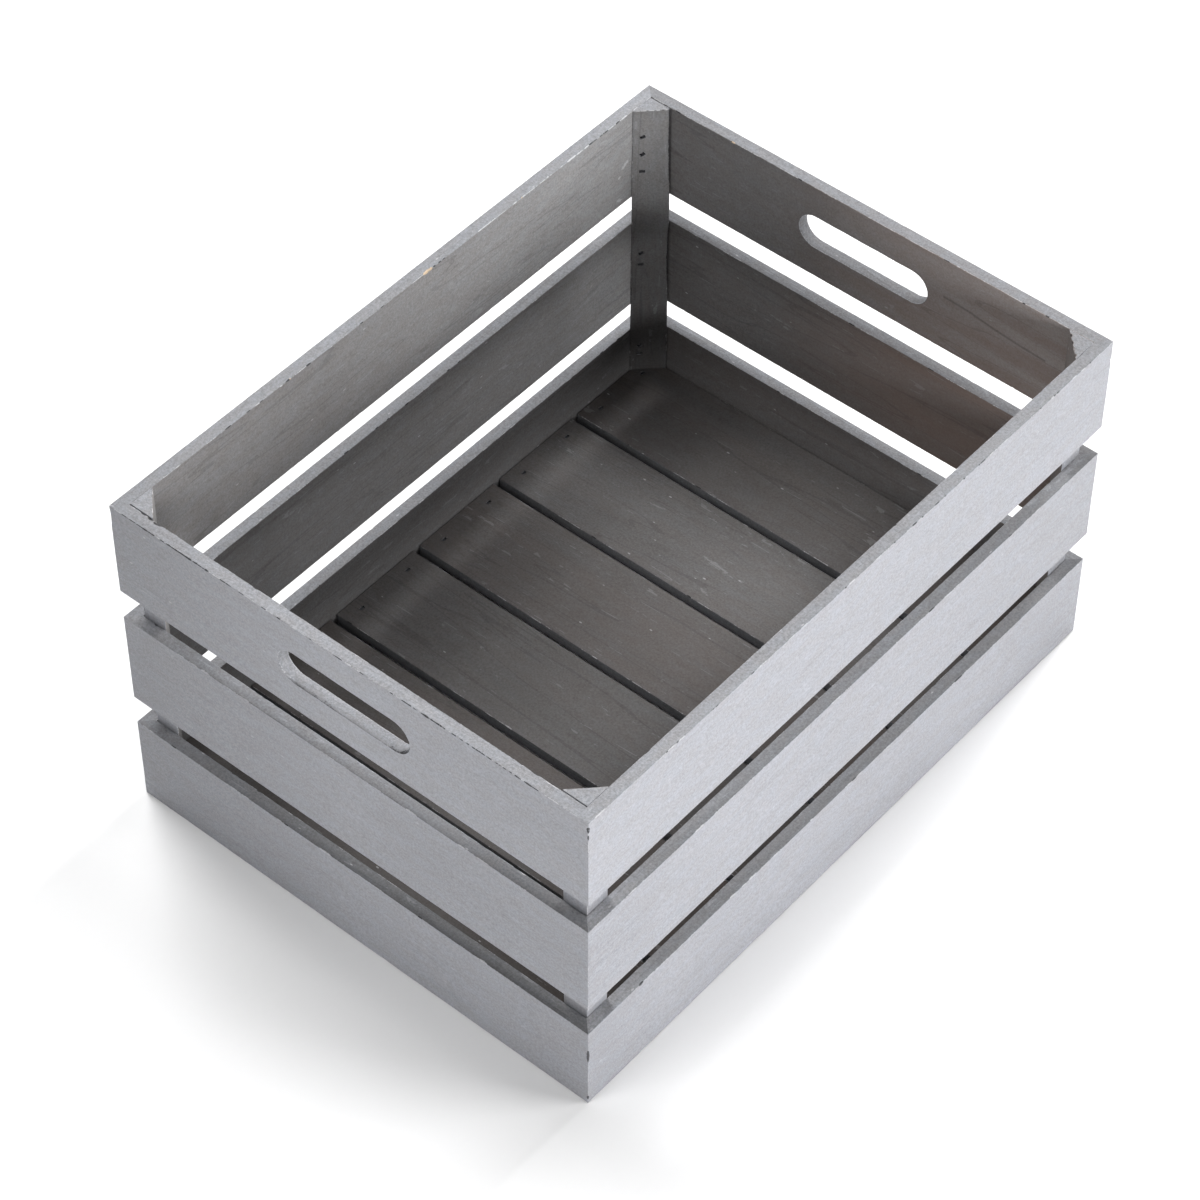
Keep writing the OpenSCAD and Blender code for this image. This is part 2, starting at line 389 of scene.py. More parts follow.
def swept(section, mats, span, shape, rng, chips, steps, mitre=(), pockets=(), top_chips=(), scuffs=()):
    """A piece of one section along a span. The section's corners are in the order that its sides
    follow; each corner has its chips, and each side its material and the step between the mesh
    lines across it. With a mitre, which gives each end's chips and the name that seeds them, the
    ends are cut at 45 degrees through the section's second measure; otherwise they are square."""
    corners = np.array(section, float)
    count = len(corners)
    ease = shape.arris / MM
    low, high = span
    sides = [corners[(k + 1) % count] - corners[k] for k in range(count)]
    lengths = [np.hypot(*v) for v in sides]
    runs = [v / d for v, d in zip(sides, lengths)]
    inward = [np.array([-u[1], u[0]]) for u in runs]
    # An acute arris is cut back further along its sides for the same easing
    meet = [runs[k - 1] @ runs[k] for k in range(count)]
    spread = [max(1.0, math.sqrt((1 - m) / (1 + m))) for m in meet]

    # Mesh lines along the piece: its ends' own, and the rest between them
    wide = [(p.along, p.half_along, p.clear) for p in pockets]
    dense = [c for line in chips for c in line] + [(place, half) for place, _, half, *_ in scuffs]
    body = mesh_lines(low + LEAD, high - LEAD, shape.mesh_step / MM, dense, wide)
    places = np.concatenate([low + END_LINES, body, high - END_LINES[::-1]])

    # The section at each of those lines
    section_at, tilt, marks, strips, side_of, across = [], [], [], [], [], []
    for k in range(count):
        before, after, wear_and_glint = arris_line(places, rng, ease * spread[k], chips[k])
        start = corners[k] - runs[k - 1] * before[:, None]
        end = corners[k] + runs[k] * after[:, None]
        mean = (inward[k - 1] + inward[k]) / (1 + inward[k - 1] @ inward[k])
        for share, crest in zip(ROUND, CREST):
            section_at.append(bend(share, start, corners[k], end))
            tilt.append(bend(share, inward[k - 1], mean, inward[k]))
            marks.append(wear_and_glint * crest)
            strips.append(mats[k - 1] if share < 0.5 else mats[k])
            side_of.append(-1)
            across.append(0.0)
        # Lines across the side where a chip of an end or a scuff needs them
        dense = list(top_chips) if k == DIAGONAL else []
        if k == 0:
            dense += [chip for line, _ in mitre for chip in line]
        if k == INNER:
            dense += [(middle, 0.5 * half + width) for _, middle, half, width, _ in scuffs]
        wide = [(p.across, p.half_across, p.clear) for p in pockets if p.side == k]
        if lengths[k] < 2 * FLAT_START + 1:
            flat = np.array([lengths[k] / 2])
        else:
            flat = mesh_lines(FLAT_START, lengths[k] - FLAT_START, steps[k], dense, wide)
        dip = shape.uneven / MM if lengths[k] > LEAST_PLANED else 0.0
        sway = ripple(places, rng, (67, 113, 190))
        # The dip starts 1 mm from the arrises and is full from 10 mm on
        for t in flat:
            taper = min(1.0, (min(t, lengths[k] - t) - 1) / 9)
            wave = math.sin(t / 11 + k) * np.cos(places / 37 + t / 19)
            cup = dip * taper * (0.5 + 0.25 * sway + 0.25 * wave)
            section_at.append(corners[k] + runs[k] * t + inward[k] * cup[:, None])
            tilt.append(inward[k])
            marks.append(scuff_marks(places, t, scuffs if k == INNER else ()))
            strips.append(mats[k])
            side_of.append(k)
            across.append(t)
    section_at, marks, tilt = np.stack(section_at, 1), np.stack(marks, 1), np.array(tilt)
    side_of, across = np.array(side_of), np.array(across)
    rows, cols = section_at.shape[:2]
    along = np.repeat(places[:, None], cols, 1)

    grid = along, section_at, marks
    own = len(END_LINES)
    for end, tip, way in ((0, low, 1), (1, high, -1)):
        order = range(rows)[::way][:own]
        if mitre:
            ease_mitre(grid, order, tip, way, ease, mitre[end])
        else:
            ease_square(
                grid, (side_of, across, tilt), order, tip, way, ease, top_chips if end else (), end
            )
    if mitre:
        # The lines between the ends lean with the mitres
        shrink = 1 - section_at[own:-own, :, 1] / ((high - low) / 2)
        along[own:-own] = places[own:-own, None] * shrink

    # Turn each pocket's rim, and cut its square out of the grid
    holes, rims = set(), []
    for p in pockets:
        i = int(np.argmin(abs(places - (p.along - p.half_along))))
        on = np.flatnonzero(side_of == p.side)
        j = int(on[np.argmin(abs(across[on] - (p.across - p.half_across)))])
        c, s = math.cos(p.turn), math.sin(p.turn)
        rim = ((i, j, -1, -1), (i + 1, j, 1, -1), (i + 1, j + 1, 1, 1), (i, j + 1, -1, 1))
        for a, b, x, y in rim:
            x, y = x * p.half_along, y * p.half_across
            along[a, b] = p.along + c * x - s * y
            section_at[a, b] = corners[p.side] + runs[p.side] * (p.across + s * x + c * y)
        holes.add((i, j))
        rims.append([a * cols + b for a, b, _, _ in rim])

    timber = Timber()
    timber.add_grid(np.concatenate([along[..., None], section_at], -1), marks, strips, False, holes)
    timber.add_face(range(cols), SAWN)
    timber.add_face(range((rows - 1) * cols, rows * cols), SAWN)
    for p, rim in zip(pockets, rims):
        timber.sink_pocket(rim, np.array([0, *inward[p.side]]), p.depth, SAWN)
    return timber


# Shares of the way between the hole and the board's outline where a face has mesh lines
FACE_SHARES = (0.1, 0.26, 0.42, 0.58, 0.74, 0.9)
# Angle in degrees that the board's end takes of each of the hole's rounds, either way from level
END_FAN = 30
# How rough the hole's sawn wall is, and how worn its lips are
HOLE_ROUGH, LIP_WEAR = 0.1, 0.8


def handled(half, height, thick, hole, shape, rng, chips, mitre, lips):
    """A mitred board with a stadium hole through it. Each row of its mesh runs round the board's
    section, from the outer face over an edge to the inner face and back through the hole."""
    ease = shape.arris / MM
    step = shape.mesh_step / MM
    hole_y, hole_z, straight, radius = hole
    mid = height / 2
    points, marks = [], []

    def on_hole(y, z):
        """The point of the hole's outline that faces a point of the board's outline, and the way out."""
        over = max(0.0, abs(y) - straight) / (half - straight)
        if abs(z - mid) >= mid - 1e-6:
            turn = math.radians(90 - (90 - END_FAN) * over)
        else:
            turn = math.radians(END_FAN) * abs(z - mid) / mid
        out = np.array([math.copysign(math.cos(turn), y), math.copysign(math.sin(turn), z - mid)])
        if abs(y) <= straight:
            at = np.array([y + hole_y, hole_z + math.copysign(radius, z - mid)])
            return at, np.array([0, out[1]])
        return np.array([hole_y + math.copysign(straight, y), hole_z]) + out * radius, out

    def dip(spot, share):
        """How far a planed face dips at a spot."""
        wave = math.sin(spot[0] / 23 + 1) * math.cos(spot[1] / 17) + math.sin(spot[0] / 41)
        return shape.uneven / MM * (0.5 + 0.25 * wave) * min(1.0, 4 * share * (1 - share) * 1.4)

    def put(y, z, depth, mark=(0, 0, 0)):
        points.append((y, z, depth))
        marks.append(mark)

    def put_face(start, stop, level, way):
        """Mesh lines over a planed face, which dips into the board."""
        for share in FACE_SHARES:
            spot = start + (stop - start) * share
            put(*spot, level + way * dip(spot, share))

    def put_row(y, z, kind, cuts, wear_and_glint, reach):
        """One row of the mesh, from a point of the board's outline."""
        up = 1 if z > mid else -1
        way = 1 if y > 0 else -1
        on_edge = kind == "edge"
        before, after, back, fore = cuts
        t = ROUND[:, None]
        first = len(points)
        outer = bend(t, np.array([before, 0.0]), np.zeros(2), np.array([0.0, after]))
        for n, (inset, depth) in enumerate(outer):
            if on_edge:
                put(y * (1 - depth / half), z - up * inset, depth, wear_and_glint * CREST[n])
                continue
            if kind == "end":
                inset = depth = 0.0
            turn = ROUND[n] * math.pi / 4
            far = max(depth, MITRE_EASE * reach) + reach * (math.sin(math.pi / 4) - math.sin(turn))
            depth = max(depth, reach * (1 - math.cos(turn)))
            put(way * (half - far), z - up * inset, depth, wear_and_glint * math.sin(2 * turn))
        start, stop = points[-1][2], thick - back
        for share in (1 / 3, 2 / 3):
            depth = start + (stop - start) * share
            put(y * (1 - depth / half) if on_edge else way * (half - depth), z, depth)
        inner = bend(t, np.array([0.0, thick - back]), np.array([0.0, thick]), np.array([fore, thick]))
        corner = bend(t, np.full(2, thick - back), np.full(2, thick), np.array([thick + back, thick]))
        for n, (inset, depth) in enumerate(inner):
            if on_edge:
                put(y * (1 - depth / half), z - up * inset, depth, wear_and_glint * CREST[n])
            else:
                put(way * (half - corner[n][0]), z - up * inset * (kind == "corner"), corner[n][1])

        at, out = on_hole(y, z)
        rough = HOLE_ROUGH * math.sin(at[0] * 2.1) * math.sin(at[1] * 1.7 + at[0])
        at = at + out * rough
        wall = np.zeros(3)
        for centre, side, reach_along, mark, strength in lips:
            near = 1 - ((at[0] - hole_y - centre) / reach_along) ** 2
            if near > 0 and (at[1] - hole_z) * side > 0:
                wall[mark] = max(wall[mark], strength * min(1, 2 * near))
        to_hole = at + out * ease
        put_face(np.array(points[-1][:2]), to_hole, thick, -1)
        lip = bend(t, np.array([ease, thick]), np.array([0.0, thick]), np.array([0.0, thick - ease]))
        for n, (inset, depth) in enumerate(lip):
            put(*(at + out * inset), depth, (LIP_WEAR * CREST[n], 0, 0))
        for share in (0.25, 0.5, 0.75):
            put(*at, (thick - ease) * (1 - share) + ease * share, wall * share)
        for n, (inset, depth) in enumerate(lip[::-1]):
            bare = np.array([LIP_WEAR * CREST[n], 0, 0]) * (1 - wall.max())
            put(*(at + out * inset), thick - depth, np.maximum(bare, wall * (ROUND[n] < 1)))
        put_face(to_hole, np.array(points[first][:2]), 0.0, 1)

    def along_edge(sign):
        """The rows over the top edge, or under the bottom one."""
        places, outer, inner = edges[sign]
        for k in range(len(places))[::-sign]:
            cuts = outer[0][k], outer[1][k], inner[0][k], inner[1][k]
            wear_and_glint = np.maximum(outer[2][k], inner[2][k])
            put_row(places[k], height if sign == 1 else 0.0, "edge", cuts, wear_and_glint, 0)

    def down_end(end):
        """The rows round the left or the right end."""
        line, seed = mitre[end]
        reach, _, wear_and_glint = arris_line(heights, seeded(seed), ease * UPRIGHT_EASE, line)
        way = -1 if end == 0 else 1
        for k in range(len(heights))[::way]:
            kind = "corner" if heights[k] in (0.0, height) else "end"
            put_row(way * half, heights[k], kind, (ease,) * 4, wear_and_glint[k], reach[k])

    edges = {}
    for sign, (outer, inner) in ((1, chips[:2]), (-1, chips[2:])):
        places = mesh_lines(-half + LEAD, half - LEAD, step, outer + inner)
        edges[sign] = places, *(arris_line(places, rng, ease, line) for line in (outer, inner))
    dense = [chip for line, _ in mitre for chip in line]
    heights = np.array([0.0, *mesh_lines(LEAD, height - LEAD, step, dense), height])
    along_edge(1)
    down_end(0)
    along_edge(-1)
    down_end(1)

    rows = len(heights) * 2 + sum(len(edge[0]) for edge in edges.values())
    grid = [np.array(values, float).reshape(rows, -1, 3) for values in (points, marks)]
    face = len(FACE_SHARES) + 2
    strips = [OUTSIDE] * 2 + [SAWN] * 6 + [INSIDE] * (2 + face)
    strips += [SAWN] * (grid[0].shape[1] - len(strips) - face) + [OUTSIDE] * face
    timber = Timber()
    timber.add_grid(*grid, strips, True)
    return timber


def place_piece(node, timber, origin, axes, materials):
    """Makes the piece that stands for a node. Its timber's frame has this origin and these axes."""
    rng = seeded(node + " log")
    local = np.array(timber.points)
    marks = np.array(timber.marks)
    world = np.array(origin) + local @ np.array(axes, float)

    mesh = bpy.data.meshes.new(node + "_wood")
    mesh.from_pydata(world * MM, [], timber.faces)
    shell = bmesh.new()
    shell.from_mesh(mesh)
    bmesh.ops.recalc_face_normals(shell, faces=shell.faces)
    if shell.calc_volume(signed=True) < 0:
        bmesh.ops.reverse_faces(shell, faces=shell.faces)
    shell.to_mesh(mesh)
    shell.free()
    for material in materials:
        mesh.materials.append(material)
    mesh.polygons.foreach_set("material_index", timber.mats)
    mesh.polygons.foreach_set("use_smooth", [True] * len(mesh.polygons))
    mesh.set_sharp_from_angle(angle=math.radians(SHARP_FROM))

    # Where the piece lay in its tree: along the grain, across it and out from the pith, in mm
    centre = (local.min(0) + local.max(0)) / 2
    lean = rng.uniform(-0.03, 0.03), rng.uniform(0.012, 0.05)
    away = rng.uniform(-22, 22), rng.uniform(24, 60)
    grain = local - centre
    grain[:, 1] += away[0] + lean[0] * grain[:, 0]
    grain[:, 2] += away[1] + lean[1] * grain[:, 0]
    grain[:, 0] += rng.uniform(500, 5000)
    tones = np.full((len(local), 4), TONES[node])
    place = (local[:, 0] - centre[0]) / (local[:, 0].max() - centre[0])
    # Painted light and shade along the piece
    for column, knots in PAINTED_LIGHT_FADES.get(node, {}).items():
        tones[:, column] *= np.interp(place, *zip(*knots))
    off_crack = np.full(len(local), FAR_OFF)
    for line in CRACKS.get(node, ()):
        gap = local[:, 1] - np.interp(local[:, 0], *zip(*line), left=FAR_OFF, right=FAR_OFF)
        off_crack = np.where(abs(gap) < abs(off_crack), gap, off_crack)
    wood = np.stack([tones[:, WARMTH], off_crack, np.zeros(len(local))], 1)
    # The tone attribute holds the stain's tone with the painted light and shade in it
    for name, values in (("grain", grain), ("marks", marks), ("tone", tones[:, :WARMTH]), ("wood", wood)):
        layer = mesh.attributes.new(name, "FLOAT_VECTOR", "POINT")
        layer.data.foreach_set("vector", values.astype(np.float32).ravel())

    piece = bpy.data.objects.new(node + "_wood", mesh)
    bpy.context.scene.collection.objects.link(piece)
    normals = piece.modifiers.new("Flat faces stay flat", "WEIGHTED_NORMAL")
    normals.keep_sharp = True
    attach(piece, BODY)
    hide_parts(node)


def corners_mm(node):
    """The lowest and highest corner of a node, in millimetres."""
    return [np.array(c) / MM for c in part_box(node)]


# For each side of the box: its way along, its way inwards, and its two corners
SIDES = {
    "front": ((1, 0, 0), (0, 1, 0), ("front_left", "front_right")),
    "back": ((1, 0, 0), (0, -1, 0), ("back_left", "back_right")),
    "left": ((0, 1, 0), (1, 0, 0), ("front_left", "back_left")),
    "right": ((0, 1, 0), (-1, 0, 0), ("front_right", "back_right")),
}

# Larger chips along the boards' arrises, by node and arris: the arrises are the bottom and top of
# the outer face, then the top and bottom of the inner face. Each chip has its centre along the
# board from its middle, half length, depth, lean and mark.
BOARD_CHIPS = {
    "left_top_slat": [
        (1, 120.4, 1.6, 0.3, 0.3, DARK), (1, 96.5, 2.2, 0.5, 0.3, DARK), (1, 92, 1.4, 0.3, -0.2, DARK),
        (1, 85.6, 1.6, 0.3, 0.3, DARK), (1, -5, 2.2, 0.4, 0.1, WEAR_AND_GLINT), (1, -53, 2.4, 0.4, 0.3, DARK),
        (1, -62, 1.8, 0.3, 0.1, DARK), (1, -107, 1.6, 0.4, 0.2, DARK), (1, -114, 2, 0.5, 0.3, DARK),
        (2, 139, 2, 0.5, 0, DARK), (2, 133.6, 2.5, 1.0, 0.2, DARK), (2, 128.5, 3, 1.4, 0.3, DARK),
        (2, 62.7, 2, 0.5, 0, DARK), (2, -117.5, 3, 0.6, 0, DARK), (2, -127.5, 4, 0.4, 0.3, WEAR_AND_GLINT),
    ],
    "left_middle_slat": [
        (2, 139, 1.5, 0.9, 0, DARK), (1, 94, 3, 0.4, 0, WEAR_AND_GLINT), (1, -40, 4, 0.5, 0, WEAR_AND_GLINT),
    ],
    "left_bottom_slat": [(1, 20, 5, 0.5, 0.2, WEAR_AND_GLINT), (1, -83, 3, 0.6, 0, WEAR_AND_GLINT)],
    "front_top_slat": [
        (1, -192, 4, 0.4, 0.2, WEAR_AND_GLINT), (1, -138, 1, 0.3, 0.4, DARK), (1, -135, 2, 0.3, 0.4, WEAR_AND_GLINT),
        (1, -15, 1, 0.3, 0.4, DARK), (1, -10, 3, 0.3, 0.4, WEAR_AND_GLINT), (1, 77, 1, 0.3, 0.2, DARK),
        (1, 92, 2.5, 0.1, 0.2, DARK), (2, -60, 4, 0.3, 0, WEAR_AND_GLINT), (2, 110, 5, 0.35, 0, WEAR_AND_GLINT),
    ],
    "front_middle_slat": [(1, -120, 4, 0.4, 0.3, WEAR_AND_GLINT), (1, 60, 3, 0.4, 0, DARK)],
    "front_bottom_slat": [
        (1, -161, 2, 0.9, 0.2, DARK), (1, -76, 3, 0.5, 0.2, WEAR_AND_GLINT), (1, 91, 4, 0.4, 0, DARK),
    ],
    "back_top_slat": [
        (2, -86, 1.6, 0.6, 0, RAW), (2, 19, 4.4, 1.3, 0, RAW), (2, 23.8, 0.8, 0.4, 0, DARK),
        (2, 62, 4, 0.2, 0, WEAR_AND_GLINT), (2, 94, 1.5, 0.4, 0, RAW), (2, 101, 3, 0.2, 0, WEAR_AND_GLINT),
        (2, 114.3, 1.2, 0.5, 0, WEAR_AND_GLINT), (2, 134, 4, 0.5, 0.2, WEAR_AND_GLINT), (2, 140.5, 3, 0.3, 0, WEAR_AND_GLINT),
        (2, 147, 3, 0.4, 0.2, WEAR_AND_GLINT), (2, 151.5, 1, 0.4, 0, DARK), (2, 161, 1.2, 0.4, 0, DARK),
        (2, 171.5, 1.2, 0.5, 0, DARK), (2, 178, 2, 0.3, 0, WEAR_AND_GLINT),
    ],
    "right_top_slat": [
        (2, 90.7, 1.5, 0.4, 0, RAW), (2, -104, 1.2, 0.3, 0, DARK), (2, -119, 1.5, 0.3, 0, DARK),
    ],
    # The long dark marks on the arris beside the right board are painted shade of the gap between post and
    # board
    "back_right_post": [
        (2, 196, 75, 1.6, 0, DARK), (2, 84, 26, 1.0, 0, DARK), (1, 60, 4, 0.4, 0, DARK),
    ],
}

# Marks round a hand hole: centre from the hole's middle, lower (-1) or upper (1) lip, half length,
# mark and strength. The dark marks on the lower lip are dark specks and also painted shade, which
# darkens the wall that faces up into the light.
HOLE_MARKS = {
    "left_top_slat": [
        (18, -1, 19, DARK, 0.54), (-13, -1, 15, DARK, 0.44), (-33, -1, 6, DARK, 0.56),
        (-38.5, -1, 4.5, DARK, 0.85), (38, -1, 6, WEAR_AND_GLINT, 0.5),
    ],
}

# Pale scuffs on the boards' inner faces, by node: place along the board, distance under its top,
# half length, half width and turn in degrees.
SCUFFS = {
    "back_top_slat": [
        (178.6, 33.4, 3.4, 1.0, -28), (173.8, 55.6, 2.4, 0.9, 20), (173.8, 39.7, 1.1, 0.9, 0),
    ],
}

# Stretches of the boards' arrises that are rough all along, by node: arris, both ends, the mean
# distance between chips and their mark.
ROUGH = {
    "left_top_slat": [
        (1, 66, 126, 1.6, DARK), (1, -118, -38, 2.0, DARK), (1, -36, 62, 15, DARK),
        (2, -132, -108, 4, WEAR_AND_GLINT),
    ],
    "back_top_slat": [
        (2, 52, 149, 9, WEAR_AND_GLINT), (2, 149, 175, 3.2, DARK), (2, 175, 190, 5, WEAR_AND_GLINT), (2, -120, 40, 20, DARK),
    ],
    "front_top_slat": [(1, -188, 190, 45, DARK)],
}

# How pale each piece took the stain, with painted shade in it: its outer face, sawn edges and inner
# face, then how much wood shows through inside. The inner faces are darker the lower the piece, and
# darkest on the floor boards, as painted shade of the box's inside. A bottom board's and a middle
# board's edges are darker than the rim's.
TONES = {
    "front_top_slat": (0.99, 0.88, 1.0, 0.1),
    "front_middle_slat": (0.95, 0.69, 0.75, 0.1),
    "front_bottom_slat": (0.99, 0.64, 0.6, 0.1),
    "back_top_slat": (1.0, 0.87, 1.16, 0.1),
    "back_middle_slat": (0.97, 0.84, 0.8, 0.05),
    "back_bottom_slat": (0.95, 0.8, 0.6, 0.05),
    "left_top_slat": (1.01, 1.05, 1.0, 0.1),
    "left_middle_slat": (0.98, 0.7, 0.8, 0.1),
    "left_bottom_slat": (0.97, 0.46, 0.7, 0.1),
    "right_top_slat": (0.99, 0.77, 1.24, 0.75),
    "right_middle_slat": (0.96, 0.62, 0.6, 0.6),
    "right_bottom_slat": (0.94, 0.76, 0.55, 0.15),
    **{
        f"base_board_{n + 1}": (0.7, 0.5, inside, (0.1, 0.15)[n % 2])
        for n, inside in enumerate((0.3, 0.39, 0.49, 0.45, 0.48, 0.44))
    },
    "front_cleat": (0.7, 0.6, 0.6, 0.1),
    "back_cleat": (0.7, 0.6, 0.6, 0.1),
    "back_right_post": (0.85, 0.84, 0.7, 0.05),
    "front_right_post": (0.85, 0.8, 0.7, 0.3),
    "front_left_post": (0.85, 1.0, 0.85, 0.1),
    "back_left_post": (0.85, 0.95, 0.9, 0.1),
}

# Painted light and shade along a piece: how the tones drift along it, by node and column of TONES,
# as shares of the piece's own value at a few places from -1, its low end, to 1, its high end. The
# drifts stand for how light and shade fall along the pieces.
PAINTED_LIGHT_FADES = {
    # The left side's outer faces darken towards the back end as painted shade
    "left_top_slat": {
        OUTSIDE: ((-1, 1), (0, 1.02), (0.9, 0.66)),
        SAWN: ((-1, 0.9), (0, 0.97), (0.4, 0.95), (0.9, 0.8)),
    },
    "left_middle_slat": {
        OUTSIDE: ((-1, 0.97), (0, 1), (0.9, 0.69)),
        SAWN: ((-0.67, 0.76), (0, 1), (0.67, 0.95), (0.9, 1.25)),
    },
    "left_bottom_slat": {
        OUTSIDE: ((-1, 0.95), (-0.6, 1.03), (0, 1.04), (0.9, 0.68)),
        SAWN: ((-0.9, 1), (-0.67, 0.85), (0.2, 0.85), (0.8, 1.4)),
    },
    "front_top_slat": {
        OUTSIDE: ((-1, 1.02), (0, 1), (1, 0.94)),
        SAWN: ((-0.7, 1.13), (-0.2, 0.96), (0.7, 0.97), (0.9, 0.88)),
    },
    "front_middle_slat": {
        OUTSIDE: ((-1, 0.94), (-0.5, 1.05), (0.2, 1.04), (1, 0.92)),
        SAWN: ((-0.9, 1.45), (-0.7, 1.05), (0.25, 1.08), (0.75, 0.9)),
    },
    "front_bottom_slat": {
        OUTSIDE: ((-0.95, 0.86), (-0.7, 1), (0.5, 0.98), (0.95, 0.87)),
        SAWN: ((-0.9, 1.6), (-0.7, 1.06), (0.5, 1), (0.75, 0.87)),
    },
    "back_top_slat": {
        INSIDE: ((-1, 0.97), (-0.3, 0.82), (0.1, 1.08), (0.7, 1.26)),
        SAWN: ((-0.9, 0.92), (-0.7, 1), (0.75, 1), (0.9, 1.15)),
        WARMTH: ((-0.1, 1), (0.4, 0.3)),
    },
    # Painted shade at the back middle board's left end, painted light by the right post
    "back_middle_slat": {INSIDE: ((-1, 0.7), (0, 0.95), (0.6, 1.05), (0.85, 1.9))},
    # Painted light on the front half of the right side's inner faces, painted shade on the back half
    "right_top_slat": {
        INSIDE: ((-0.8, 1.8), (-0.4, 1.42), (0.2, 0.6), (1, 0.53)),
        WARMTH: ((-0.2, 1), (0.4, 0.15)),
    },
    "right_middle_slat": {
        INSIDE: ((-1, 1.25), (-0.2, 1.1), (0.2, 0.86)),
        WARMTH: ((-0.2, 1), (0.4, 0.15)),
    },
    # Painted shade low on the post's inner faces, and painted light over the band where the top boards'
    # shadow falls
    "back_right_post": {INSIDE: ((-1, 0.45), (0.1, 0.9), (0.25, 1.9), (1, 1.3))},
    # Painted shade on the floor boards along the front, under the front side, and towards the back
    **{f"base_board_{n}": {INSIDE: ((-0.8, 0.35), (-0.2, 1), (0.8, 1), (1, 0.7))} for n in range(1, 7)},
}

# Hairline drying cracks by node, each as places along the board and heights above its lower edge
CRACKS = {
    "right_top_slat": [((-119, 29.8), (-88, 31.6), (-62, 35.4), (-43, 35.3))],
}
# Distance that stands for no crack nearby
FAR_OFF = 999.0

# Larger chips on the box's upright arrises, by corner and tier, with their height in the tier
CORNER_CHIPS = {
    ("front_left", "top"): [(55.2, 2.4, 1.1, 0, DARK), (50, 2, 0.4, 0, DARK)],
    ("front_left", "bottom"): [(38, 5.5, 0.9, 0.2, DARK), (4.2, 1.6, 0.8, 0, DARK)],
    ("back_left", "top"): [(52, 6, 0.7, 0, WEAR_AND_GLINT)],
    ("front_right", "top"): [(47, 2, 0.9, 0, DARK)],
}


def side_board(node, shape):
    """What a side board is made from: its frame, its sizes, the chips of its arrises and, for each
    end, those of its upright arris and the name that seeds it."""
    side, tier, _ = node.split("_")
    run, inwards, ends = SIDES[side]
    low, high = corners_mm(node)
    run, inwards = np.array(run, float), np.array(inwards, float)
    size = high - low
    centre = (low + high) / 2
    thick = abs(size @ inwards)
    origin = np.array([centre[0], centre[1], low[2]]) - inwards * thick / 2
    half = size @ run / 2
    rng = seeded(node)
    small = [small_chips(rng, -half, half, shape.chip_spacing / MM) for _ in range(4)]
    chips = with_marks(node, small, rng)
    mitre = [(CORNER_CHIPS.get((name, tier), []), f"{name} {tier}") for name in ends]
    return origin, (run, (0, 0, 1), inwards), half, size[2], thick, rng, chips, mitre


# ---- materials ----


def add(tree, kind, sockets=(), **settings):
    """Adds a node with its settings, and links or sets its sockets."""
    made = tree.nodes.new(kind)
    for name, value in settings.items():
        setattr(made, name, value)
    for name, value in dict(sockets).items():
        if isinstance(value, bpy.types.NodeSocket):
            tree.links.new(value, made.inputs[name])
        else:
            made.inputs[name].default_value = value
    return made


def new_material(name):
    """A material with an empty tree and its shader."""
    material = bpy.data.materials.new(name)
    material.use_nodes = True
    tree = material.node_tree
    tree.nodes.clear()
    shader = add(tree, "ShaderNodeBsdfPrincipled")
    add(tree, "ShaderNodeOutputMaterial", {"Surface": shader.outputs[0]})
    return material, tree, shader


# Red, green and blue of the cooler patches, as shares of the stain's own
COOLER = (0.96, 1.0, 1.04)

# Sockets of a colour mix. A map range's sockets 1 to 4 are its two inputs, then what they become.
MIX_BY, MIX_A, MIX_B, MIXED = 0, 6, 7, 2

# The boards' surfaces in the order of a mesh's slots: name, stain and the look that it gives
PINES = (
    # Planed and stained outside: almost even, satin, with faint fibres, clouds and grit
    ("Grey-stained pine, planed", "outside", {
        "fibres": 0.16, "rings": 0.02, "lines": 0.06, "cloud": 0.32, "speckle": 0.9, "saw": 0.0,
        "rough": 0.55, "sheen": 0.5, "warm": 0.0,
    }),
    # Sawn across the board's edge: darker, matt and speckled, as the rough wood drinks more stain
    ("Grey-stained pine, sawn edge", "sawn", {
        "fibres": 0.3, "rings": 0.04, "lines": 0.1, "cloud": 0.3, "speckle": 1.15, "saw": 0.08,
        "rough": 0.75, "sheen": 0.5, "warm": 0.05,
    }),
    # Planed and stained thinly inside: more of the grain shows, and a little of the wood's warmth
    ("Grey-stained pine, inside", "inside", {
        "fibres": 0.15, "rings": 0.04, "lines": 0.16, "cloud": 0.46, "speckle": 0.9, "saw": 0.0,
        "rough": 0.75, "sheen": 0.2, "warm": 1.0,
    }),
)


